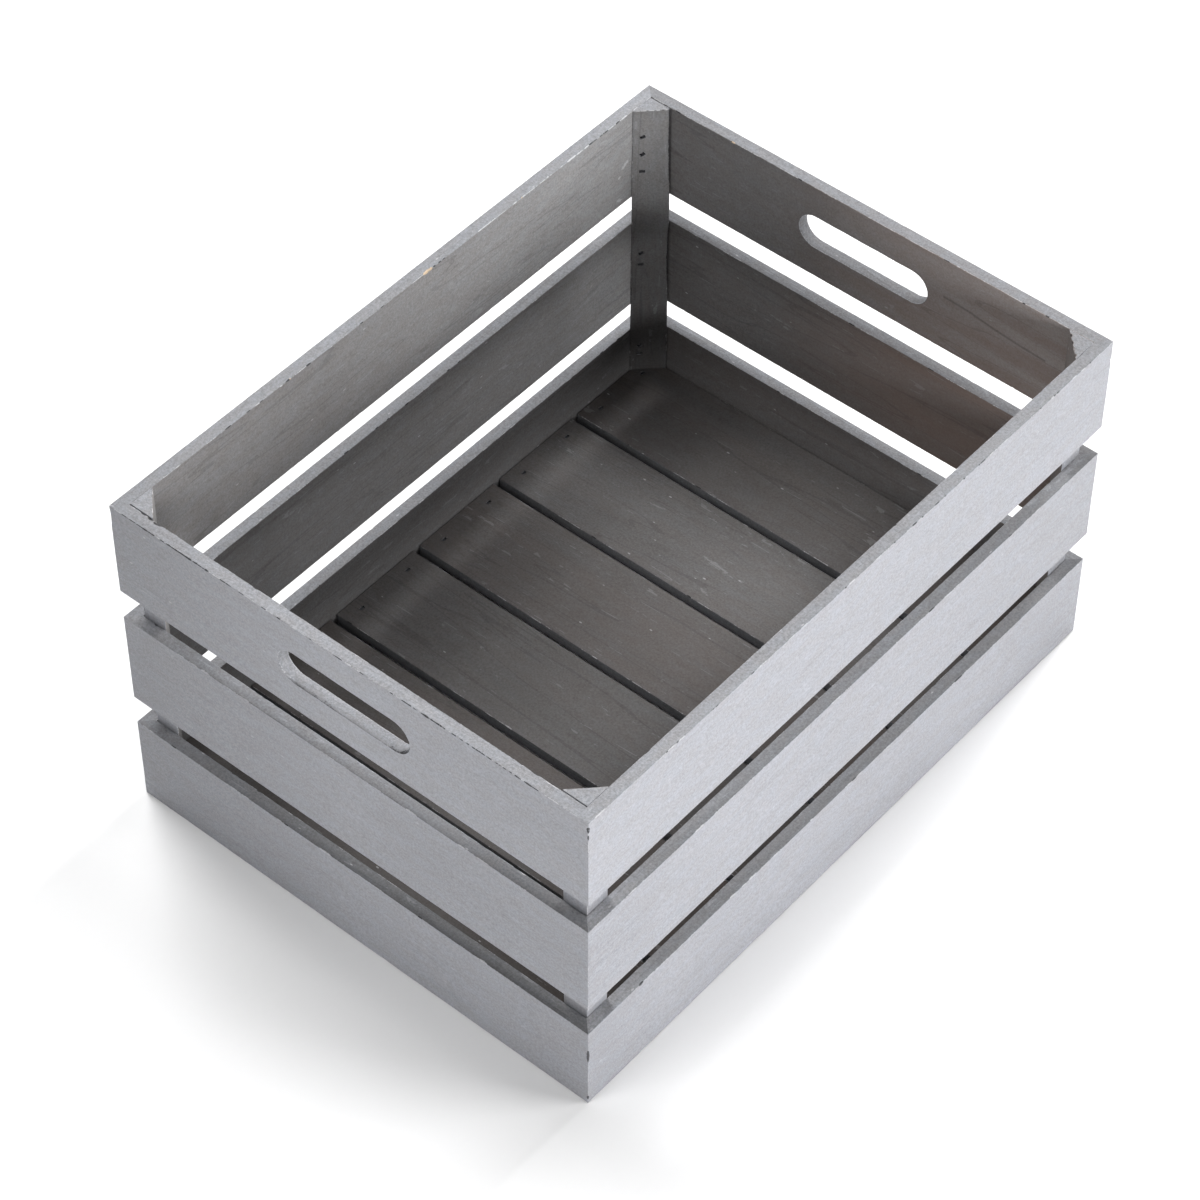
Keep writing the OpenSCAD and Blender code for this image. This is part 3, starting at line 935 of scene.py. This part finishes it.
def stained_pine(
    name, surface, colours, stain, fibres, rings, lines, cloud, speckle, saw, rough, sheen, warm
):
    """Pine under a thin water-based grey stain, which leaves the grain showing as faint darker
    lines, sinks deeper into the early wood and rubs pale on the arrises, where the pale lines are
    also a painted highlight. The strengths are those of the fibres, the growth rings, the drying
    lines, the stain's clouds, the surface's speckle and the saw marks; sheen is the specular level
    and warm how much wood shows through."""
    material, tree, shader = new_material(name)
    grain, marks, tones, wood = (
        add(tree, "ShaderNodeAttribute", attribute_name=layer).outputs["Vector"]
        for layer in ("grain", "marks", "tone", "wood")
    )
    mark = add(tree, "ShaderNodeSeparateXYZ", {"Vector": marks})
    board = add(tree, "ShaderNodeSeparateXYZ", {"Vector": tones})
    warmth, off_crack, _ = add(tree, "ShaderNodeSeparateXYZ", {"Vector": wood}).outputs
    long_way, patch, across = (
        add(tree, "ShaderNodeVectorMath", {0: grain, 1: pull}, operation="MULTIPLY").outputs[0]
        for pull in ((0.05, 1, 1), (0.45, 1, 1), (1, 0.12, 0.12))
    )

    fibre, sway, blotch, mottle, grit, kerf = (
        add(
            tree, "ShaderNodeTexNoise",
            {"Vector": way, "Scale": 1 / size, "Detail": detail, "Roughness": fine},
        )
        for way, size, detail, fine in (
            # Fibres are about 1 mm wide here, as 0.3 mm is too fine to show, and 20 times as long
            (long_way, 1.6, 4.0, 0.7),
            # Sway of the growth rings over 16 mm
            (long_way, 16, 2.0, 0.5),
            # Stain taken up unevenly over 30 to 60 mm, and mottled over 3 to 6 mm
            (patch, 42, 3.0, 0.55),
            (patch, 4.5, 3.0, 0.6),
            # Grit of the sawn or sanded surface, drawn at 1.2 mm as 0.2 mm is too fine to show
            (grain, 1.2, 2.0, 0.75),
            # Saw marks 1.5 mm apart, square to the grain
            (across, 1.5, 1.0, 0.5),
        )
    )
    # Growth rings 3.6 mm apart
    swayed = add(
        tree, "ShaderNodeVectorMath", {0: sway.outputs["Color"], 1: (0, 9, 9), 2: grain},
        operation="MULTIPLY_ADD",
    )
    ring = add(
        tree, "ShaderNodeTexWave",
        {"Vector": swayed.outputs[0], "Scale": 0.314 / 3.6, "Distortion": 0.6, "Detail": 1.0},
        wave_type="RINGS", rings_direction="X", wave_profile="SAW",
    )

    layers = (
        (fibre, fibres), (ring, -rings), (blotch, cloud * 0.6), (mottle, cloud * 0.7),
        (grit, speckle), (kerf, saw),
    )
    tone = 1 - sum(strength for _, strength in layers) / 2
    for source, strength in layers:
        sockets = {0: source.outputs["Fac"], 1: strength, 2: tone}
        tone = add(tree, "ShaderNodeMath", sockets, operation="MULTIPLY_ADD").outputs[0]
    # The piece's tone, with its painted light and shade
    sockets = {0: tone, 1: board.outputs[surface]}
    tone = add(tree, "ShaderNodeMath", sockets, operation="MULTIPLY").outputs[0]

    cool, streak, gloss = (
        add(
            tree, "ShaderNodeMapRange",
            {"Value": source.outputs["Fac"], 1: low, 2: high, 3: at_low, 4: at_high},
        )
        for source, low, high, at_low, at_high in (
            # Some patches are a little cooler than others
            (mottle, 0.4, 0.62, 0.0, 0.7),
            # Wood shows through the thin stain in streaks
            (sway, 0.25, 0.6, 0.4 * warm, 0.9 * warm),
            # Where more stain was taken up, the surface is rougher
            (blotch, 0.3, 0.7, rough - 0.06, rough + 0.06),
        )
    )
    cooler = [c * k for c, k in zip(stain, COOLER)]
    hue = add(
        tree, "ShaderNodeMix", {MIX_BY: cool.outputs[0], MIX_A: (*stain, 1), MIX_B: (*cooler, 1)},
        data_type="RGBA",
    )
    grey = add(tree, "ShaderNodeVectorMath", {0: hue.outputs[MIXED], "Scale": tone}, operation="SCALE")

    thin = add(tree, "ShaderNodeMath", {0: streak.outputs[0], 1: warmth}, operation="MULTIPLY")
    # Marks on the arrises are broken up by the grit, so that faint ones are a few specks
    broken = [
        add(tree, "ShaderNodeMath", {0: channel, 1: grit.outputs["Fac"]}, operation="MULTIPLY")
        for channel in mark.outputs
    ]
    wear_and_glint, dark, raw = (
        add(tree, "ShaderNodeMapRange", {"Value": specks.outputs[0], 1: 0.22, 2: 0.36, 3: 0.0, 4: 1.0})
        for specks in broken
    )
    # Dings about 1 mm long, one in every 30 mm or so of a face, which show the filler under the stain
    ding = add(tree, "ShaderNodeTexVoronoi", {"Vector": patch, "Scale": 1 / 9.5})
    nick = add(
        tree, "ShaderNodeMapRange", {"Value": ding.outputs["Distance"], 1: 0.035, 2: 0.055, 3: 0.6, 4: 0.0}
    )
    # Resin canals and drying lines: fine dark lines along the grain
    line = add(tree, "ShaderNodeMath", {0: sway.outputs["Fac"], 1: 0.5, 2: 0.007}, operation="COMPARE")
    # Drying cracks: 0.6 mm wide at full strength, with stain run 0.8 mm into their sides
    beside = add(tree, "ShaderNodeMath", {0: off_crack}, operation="ABSOLUTE")
    crack = add(tree, "ShaderNodeMapRange", {"Value": beside.outputs[0], 1: 0.3, 2: 1.1, 3: 1.0, 4: 0.0})
    # Scuffs: fine pale lines askew to the grain, where a second pattern allows them
    skewed = add(
        tree, "ShaderNodeMapping", {"Vector": grain, "Rotation": (0.5, 0.4, 0.45), "Scale": (0.03, 1, 1)}
    )
    stray = add(tree, "ShaderNodeTexNoise", {"Vector": skewed.outputs[0], "Scale": 1 / 9, "Detail": 1.0})
    scuff = add(tree, "ShaderNodeMath", {0: stray.outputs["Fac"], 1: 0.5, 2: 0.009}, operation="COMPARE")
    here = add(tree, "ShaderNodeMath", {0: mottle.outputs["Fac"], 1: 0.58}, operation="GREATER_THAN")
    scuffed = add(tree, "ShaderNodeMath", {0: scuff.outputs[0], 1: here.outputs[0]}, operation="MULTIPLY")

    colour = grey.outputs[0]
    for source, paint, strength in (
        (thin, colours.wood, 1.0),
        (line, colours.dark, lines),
        (crack, colours.dark, 0.35),
        (scuffed, colours.wear_and_glint, 0.08),
        (nick, colours.wear_and_glint, 0.5),
        # Pale arrises: wear and a painted highlight
        (wear_and_glint, colours.wear_and_glint, 0.5),
        (raw, colours.raw, 0.9),
        (dark, colours.dark, 0.9),
    ):
        sockets = {0: source.outputs[0], 1: strength}
        share = add(tree, "ShaderNodeMath", sockets, operation="MULTIPLY", use_clamp=True)
        sockets = {MIX_BY: share.outputs[0], MIX_A: colour, MIX_B: (*paint, 1)}
        colour = add(tree, "ShaderNodeMix", sockets, data_type="RGBA").outputs[MIXED]
    tree.links.new(colour, shader.inputs["Base Color"])

    tree.links.new(gloss.outputs[0], shader.inputs["Roughness"])
    shader.inputs["IOR"].default_value = 1.5
    # Open pores scatter most of what a sealed surface would reflect
    shader.inputs["Specular IOR Level"].default_value = sheen

    height = 0.0
    for source, strength in ((fibre, 0.8), (mottle, 0.8), (grit, 0.6 + saw), (kerf, saw * 3)):
        sockets = {0: source.outputs["Fac"], 1: strength, 2: height}
        height = add(tree, "ShaderNodeMath", sockets, operation="MULTIPLY_ADD").outputs[0]
    # The grain stands up to 0.3 mm
    bump = add(tree, "ShaderNodeBump", {"Height": height, "Strength": 0.6 + saw, "Distance": 0.3 * MM})
    tree.links.new(bump.outputs[0], shader.inputs["Normal"])
    return material


def pine_materials(colours):
    """The boards' surfaces, in the order of a mesh's slots, made once."""
    return [
        bpy.data.materials.get(name)
        or stained_pine(name, surface, colours, getattr(colours, stain), **look)
        for surface, (name, stain, look) in enumerate(PINES)
    ]


def steel_wire(colours):
    """Galvanised steel wire, drawn and then pressed into brads: dull grey metal in fine spots."""
    material, tree, shader = new_material("Galvanised steel wire")
    spot = add(tree, "ShaderNodeTexCoord").outputs["Object"]
    # Drawing lines and dull spots about 0.4 mm across
    dull = add(tree, "ShaderNodeTexNoise", {"Vector": spot, "Scale": 1 / (0.4 * MM), "Detail": 2.0})
    shade, gloss = (
        add(
            tree, "ShaderNodeMapRange",
            {"Value": dull.outputs["Fac"], 1: 0.3, 2: 0.7, 3: at_low, 4: at_high},
        )
        for at_low, at_high in ((0.7, 1.1), (0.5, 0.3))
    )
    sockets = {0: tuple(colours.steel), "Scale": shade.outputs[0]}
    colour = add(tree, "ShaderNodeVectorMath", sockets, operation="SCALE")
    tree.links.new(colour.outputs[0], shader.inputs["Base Color"])
    tree.links.new(gloss.outputs[0], shader.inputs["Roughness"])
    shader.inputs["Metallic"].default_value = 1.0
    return material


def white_sweep(colour):
    """Matt white paper laid as the studio's floor: even and without gloss."""
    material, tree, shader = new_material("White paper sweep")
    spot = add(tree, "ShaderNodeTexCoord").outputs["Object"]
    # Paper fibre, drawn at 3 mm as the real one is too fine to show
    fibre = add(tree, "ShaderNodeTexNoise", {"Vector": spot, "Scale": 1 / (3 * MM), "Detail": 2.0})
    sockets = {"Value": fibre.outputs["Fac"], 1: 0.3, 2: 0.7, 3: 0.995, 4: 1.0}
    shade = add(tree, "ShaderNodeMapRange", sockets)
    sockets = {0: tuple(colour), "Scale": shade.outputs[0]}
    even = add(tree, "ShaderNodeVectorMath", sockets, operation="SCALE")
    tree.links.new(even.outputs[0], shader.inputs["Base Color"])
    shader.inputs["Roughness"].default_value = 0.95
    shader.inputs["Specular IOR Level"].default_value = 0.1
    return material


# ---- the brads' places, read from the frame ----

# Depth under its highest points that holds a node's heads, and a length between a head's diagonal
# and the distance to the next head
HEAD_BAND, HEAD_REACH = 0.05, 3.3


def head_pockets(node, outward):
    """The rectangles of the brads' heads, seen against the way that they face: centre, the long
    way, and the half lengths along it and across it."""
    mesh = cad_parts[node].data
    points = np.unique(np.round(np.array([v.co for v in mesh.vertices]) / MM, 3), axis=0)
    level = points @ outward
    left = points[level > level.max() - HEAD_BAND]
    heads = []
    while len(left):
        away = left - left[0]
        reach = np.linalg.norm(away, axis=1)
        own = reach < HEAD_REACH
        _, short, long, *_ = np.sort(reach[own])
        long_way = away[own][np.argsort(reach[own])[2]] / long
        heads.append((left[own].mean(0), long_way, long / 2, short / 2))
        left = left[~own]
    return heads


# ---- operators ----


def supplies(context):
    """The wooden pieces' shape, and the materials in the order of their slots."""
    scene = context.scene
    return scene.kindling_shape, pine_materials(scene.kindling_stain)


def make_side_boards(context, sides, tiers):
    """Makes the mitred boards of these sides and tiers."""
    shape, materials = supplies(context)
    for node in [f"{side}_{tier}_slat" for side in sides for tier in tiers]:
        origin, axes, half, height, thick, rng, chips, mitre = side_board(node, shape)
        section = [(0, 0), (height, 0), (height, thick), (0, thick)]
        timber = swept(
            section, (OUTSIDE, SAWN, INSIDE, SAWN), (-half, half), shape, rng, chips,
            (6.0, 4.0, 9.0, 4.0), mitre, scuffs=SCUFFS.get(node, ()),
        )
        place_piece(node, timber, origin, axes, materials)


def make_square_piece(context, node, section, mats, span, steps, spacing, origin, axes, pockets):
    """Makes a piece with square ends, whose small chips have this mean spacing."""
    shape, materials = supplies(context)
    rng = seeded(node)
    chips = with_marks(node, [small_chips(rng, *span, spacing) for _ in section], rng)
    timber = swept(
        section, mats, span, shape, rng, chips, steps, pockets=pockets,
        top_chips=POST_TOP_CHIPS.get(node, ()),
    )
    place_piece(node, timber, origin, axes, materials)


class KINDLING_OT_long_boards(bpy.types.Operator):
    """Make the six mitred boards of the long sides"""

    bl_idname = "kindling.long_boards"
    bl_label = "Long boards"

    def execute(self, context):
        make_side_boards(context, ("front", "back"), TIERS)
        return {"FINISHED"}


class KINDLING_OT_short_boards(bpy.types.Operator):
    """Make the four plain mitred boards of the short sides"""

    bl_idname = "kindling.short_boards"
    bl_label = "Short boards"

    def execute(self, context):
        make_side_boards(context, ("left", "right"), TIERS[:2])
        return {"FINISHED"}


# Least distances of a hand hole from its board's long edges and ends
HOLE_INSET, HOLE_END_INSET = 5, 20


class KINDLING_OT_handled_boards(bpy.types.Operator):
    """Make the two top boards of the short sides, with their hand holes"""

    bl_idname = "kindling.handled_boards"
    bl_label = "Boards with hand holes"

    def execute(self, context):
        shape, materials = supplies(context)
        for side in ("left", "right"):
            node = f"{side}_top_slat"
            origin, axes, half, height, thick, rng, chips, mitre = side_board(node, shape)
            hole = self.find_hole(node, origin, half, height)
            arrises = (chips[1], chips[2], chips[0], chips[3])
            lips = HOLE_MARKS.get(node, ())
            timber = handled(half, height, thick, hole, shape, rng, arrises, mitre, lips)
            place_piece(node, timber, origin, axes, materials)
        return {"FINISHED"}

    def find_hole(self, node, origin, half, height):
        """The hole's centre, half of its straight part and its radius, from the node's own mesh."""
        points = np.array([v.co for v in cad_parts[node].data.vertices]) / MM - origin
        on_face = points[
            (abs(points[:, 0]) < 0.01) & (abs(points[:, 1]) < half - HOLE_END_INSET)
            & (points[:, 2] > HOLE_INSET) & (points[:, 2] < height - HOLE_INSET)
        ]
        if not len(on_face):
            raise RuntimeError(f"{node} has no hand hole in the frame")
        low, high = on_face.min(0), on_face.max(0)
        radius = (high[2] - low[2]) / 2
        return (low[1] + high[1]) / 2, (low[2] + high[2]) / 2, (high[1] - low[1]) / 2 - radius, radius


# Room in a pocket for a brad's head, under the head's top
HEAD_ROOM = 0.85
# Clearance between a head and its pocket, and the wider one along a post, whose slots show
BRAD_FIT, SLOT_FIT = 0.25, 0.45

# Where stain and filler close the joint between a post and its short side, and how thick they are
FILLED = {"front_right_post": 0.5}

# Chips on the top edge of a post's diagonal face: centre, half length, depth and mark
POST_TOP_CHIPS = {
    "back_right_post": [
        (3.5, 2.2, 0.2, WEAR_AND_GLINT), (7, 1.8, 0.4, WEAR_AND_GLINT), (10.5, 2.4, 0.3, WEAR_AND_GLINT), (14, 1.6, 0.4, WEAR_AND_GLINT),
        (16.4, 0.8, 0.4, DARK), (18.5, 1.6, 0.4, WEAR_AND_GLINT),
    ],
    "front_right_post": [
        (3, 1.4, 0.9, DARK), (7.5, 2, 0.5, WEAR_AND_GLINT), (12, 1.8, 0.7, DARK), (17, 1.6, 0.9, DARK),
    ],
    "front_left_post": [(6, 4.5, 0.3, WEAR_AND_GLINT), (15, 4.5, 0.3, WEAR_AND_GLINT)],
    "back_left_post": [(5, 3, 0.3, WEAR_AND_GLINT), (16, 3, 0.4, WEAR_AND_GLINT)],
}


class KINDLING_OT_posts(bpy.types.Operator):
    """Make the four triangular corner posts, with a slot for each open brad"""

    bl_idname = "kindling.posts"
    bl_label = "Corner posts"

    def execute(self, context):
        for corner in ("front_left", "front_right", "back_left", "back_right"):
            node = f"{corner}_post"
            low, high = corners_mm(node)
            x_way = 1 if corner.endswith("left") else -1
            y_way = 1 if corner.startswith("front") else -1
            filled = FILLED.get(node, 0)
            heel = np.array([low[0] if x_way == 1 else high[0], low[1] if y_way == 1 else high[1], low[2]])
            heel[0] -= x_way * filled
            leg_x, leg_y, length = high - low + (filled, 0, 0)
            outward = np.array([x_way, y_way, 0]) / math.sqrt(2)
            tip = heel + (x_way * leg_x, 0, 0)
            run = np.array([-x_way * leg_x, y_way * leg_y, 0])
            run = run / np.linalg.norm(run)
            pockets = []
            for centre, long_way, half_long, half_short in head_pockets(f"{corner}_brads", outward):
                turn = math.atan2(long_way[2], long_way @ run)
                turn = (turn + math.pi / 2) % math.pi - math.pi / 2
                pockets.append(Pocket(
                    DIAGONAL, centre[2] - heel[2], (centre - tip) @ run, half_short + SLOT_FIT,
                    half_long + BRAD_FIT, turn, (tip - centre) @ outward + HEAD_ROOM,
                ))
            make_square_piece(
                context, node, [(0, 0), (leg_x, 0), (0, leg_y)],
                (OUTSIDE, INSIDE, OUTSIDE), (0, length), (5.0, 3.0, 5.0), POST_CHIPS,
                heel, ((0, 0, 1), (x_way, 0, 0), (0, y_way, 0)), pockets,
            )
        return {"FINISHED"}


class KINDLING_OT_cleats(bpy.types.Operator):
    """Make the two cleats that carry the floor boards"""

    bl_idname = "kindling.cleats"
    bl_label = "Cleats"

    def execute(self, context):
        for side, y_way in (("front", 1), ("back", -1)):
            node = f"{side}_cleat"
            low, high = corners_mm(node)
            length, thick, height = high - low
            heel = np.array([(low[0] + high[0]) / 2, low[1] if y_way == 1 else high[1], low[2]])
            outward = np.array([0, y_way, 0])
            face = heel + outward * thick
            pockets = [
                Pocket(
                    INNER, centre[0] - heel[0], height - (centre[2] - heel[2]), half_long + BRAD_FIT,
                    half_short + BRAD_FIT, 0, (face - centre) @ outward + HEAD_ROOM,
                )
                for centre, _, half_long, half_short in head_pockets(f"{side}_cleat_brads", outward)
            ]
            make_square_piece(
                context, node, [(0, 0), (height, 0), (height, thick), (0, thick)],
                (SAWN,) * 4, (-length / 2, length / 2), (5.0,) * 4, CLEAT_CHIPS,
                heel, ((1, 0, 0), (0, 0, 1), outward), pockets,
            )
        return {"FINISHED"}


class KINDLING_OT_floor_boards(bpy.types.Operator):
    """Make the six floor boards, with a slot for each brad"""

    bl_idname = "kindling.floor_boards"
    bl_label = "Floor boards"

    def execute(self, context):
        heads = head_pockets("base_board_brads", np.array([0, 0, 1.0]))
        for number in range(1, 7):
            node = f"base_board_{number}"
            low, high = corners_mm(node)
            width, length, thick = high - low
            heel = np.array([low[0], (low[1] + high[1]) / 2, low[2]])
            pockets = [
                Pocket(
                    TOP, centre[1] - heel[1], width - (centre[0] - heel[0]), half_short + BRAD_FIT,
                    half_long + BRAD_FIT, 0, high[2] - centre[2] + HEAD_ROOM,
                )
                for centre, _, half_long, half_short in heads
                if low[0] < centre[0] < high[0]
            ]
            make_square_piece(
                context, node, [(width, 0), (width, thick), (0, thick), (0, 0)],
                (SAWN, INSIDE, SAWN, INSIDE), (-length / 2, length / 2), (4.0, 6.0, 4.0, 9.0),
                FLOOR_CHIPS, heel, ((0, 1, 0), (1, 0, 0), (0, 0, 1)), pockets,
            )
        return {"FINISHED"}


class KINDLING_OT_brads(bpy.types.Operator):
    """Give the brads their steel"""

    bl_idname = "kindling.brads"
    bl_label = "Brads"

    def execute(self, context):
        steel = steel_wire(context.scene.kindling_stain)
        for name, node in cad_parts.items():
            if name.endswith("_brads"):
                node.data.materials.clear()
                node.data.materials.append(steel)
        return {"FINISHED"}


# How far the lights stand from the box, and the floor's radius, in metres
LIGHT_RANGE, FLOOR_RADIUS = 2.6, 7
# How far the floor lies under the box, so that the two faces don't flicker
FLOOR_DROP = 0.3 * MM

# The photograph's angle: where the camera stands and looks in metres, its lens in millimetres and
# its roll in degrees
CAMERA_SPOT, CAMERA_WAY = (-1.02354, -0.84783, 1.56046), (0.51225, 0.43086, -0.74294)
CAMERA_LENS, CAMERA_ROLL = 117.37, 0.245


def aim(thing, spot, target, roll=0.0):
    """Puts a camera or light at a spot and turns it to a target."""
    thing.location = spot
    look = (Vector(target) - Vector(spot)).to_track_quat("-Z", "Y").to_matrix()
    thing.rotation_euler = (look @ Matrix.Rotation(roll, 3, "Z")).to_euler()


class KINDLING_OT_stage(bpy.types.Operator):
    """Make the floor, the studio light and the camera"""

    bl_idname = "kindling.stage"
    bl_label = "Floor, light and camera"

    def execute(self, context):
        scene = context.scene
        look = scene.kindling_studio

        disc = bmesh.new()
        bmesh.ops.create_circle(disc, cap_ends=True, segments=96, radius=FLOOR_RADIUS)
        mesh = bpy.data.meshes.new("studio_floor")
        disc.to_mesh(mesh)
        disc.free()
        mesh.materials.append(white_sweep(look.floor))
        floor = bpy.data.objects.new("studio_floor", mesh)
        floor.location = (0, 0, -FLOOR_DROP)
        scene.collection.objects.link(floor)

        world = bpy.data.worlds.new("Even studio light")
        scene.world = world
        world.use_nodes = True
        sky = world.node_tree.nodes["Background"]
        sky.inputs["Color"].default_value = (1, 1, 1, 1)
        sky.inputs["Strength"].default_value = look.sky

        # Each light's side and height in degrees, counter-clockwise from the box's right, and its width
        for name, side, height, width, power in (
            ("high_back_softbox", 75, 60, 0.9, look.high_back),
            ("right_softbox", 0, 20, 0.5, look.right),
            ("high_front_softbox", 300, 50, 0.9, look.high_front),
            ("low_front_softbox", 255, 12, 0.5, look.low_front),
            ("left_softbox", 165, 50, 0.9, look.left),
        ):
            light = bpy.data.lights.new(name, "AREA")
            light.size = width
            light.energy = power
            lamp = bpy.data.objects.new(name, light)
            scene.collection.objects.link(lamp)
            side, height = math.radians(side), math.radians(height)
            way = Matrix.Rotation(side, 3, "Z") @ Matrix.Rotation(-height, 3, "Y")
            aim(lamp, way @ Vector((LIGHT_RANGE, 0, 0)), (0, 0, 0.1))

        camera = bpy.data.cameras.new("photo_angle")
        camera.sensor_width = 36
        camera.lens = CAMERA_LENS
        camera.clip_end = 50
        seen = bpy.data.objects.new("photo_angle", camera)
        scene.collection.objects.link(seen)
        spot = Vector(CAMERA_SPOT)
        aim(seen, spot, spot + Vector(CAMERA_WAY), math.radians(CAMERA_ROLL))
        scene.camera = seen
        scene.view_settings.view_transform = "Standard"
        return {"FINISHED"}


class KINDLING_PT_sidebar(bpy.types.Panel):
    """Lists the steps that build the box, and its settings"""

    bl_label = "Kindling box"
    bl_idname = "KINDLING_PT_sidebar"
    bl_space_type = "VIEW_3D"
    bl_region_type = "UI"
    bl_category = "Kindling box"

    def draw(self, context):
        for step in STEPS:
            self.layout.operator(step.bl_idname)
        for group in ("kindling_shape", "kindling_stain", "kindling_studio"):
            settings = getattr(context.scene, group)
            box = self.layout.box()
            for name in settings.bl_rna.properties.keys():
                if name not in ("rna_type", "name"):
                    box.prop(settings, name)


GROUPS = (BoardShape, StainColours, StudioLook)
STEPS = (
    KINDLING_OT_stage,
    KINDLING_OT_long_boards,
    KINDLING_OT_short_boards,
    KINDLING_OT_handled_boards,
    KINDLING_OT_posts,
    KINDLING_OT_cleats,
    KINDLING_OT_floor_boards,
    KINDLING_OT_brads,
)


def register():
    for kind in (*GROUPS, *STEPS, KINDLING_PT_sidebar):
        bpy.utils.register_class(kind)
    bpy.types.Scene.kindling_shape = PointerProperty(type=BoardShape)
    bpy.types.Scene.kindling_stain = PointerProperty(type=StainColours)
    bpy.types.Scene.kindling_studio = PointerProperty(type=StudioLook)


def unregister():
    del bpy.types.Scene.kindling_studio
    del bpy.types.Scene.kindling_stain
    del bpy.types.Scene.kindling_shape
    for kind in reversed((*GROUPS, *STEPS, KINDLING_PT_sidebar)):
        bpy.utils.unregister_class(kind)


def main():
    """Builds the whole scene."""
    register()
    for step in STEPS:
        group, name = step.bl_idname.split(".")
        getattr(getattr(bpy.ops, group), name)()


if __name__ == "__main__":
    main()
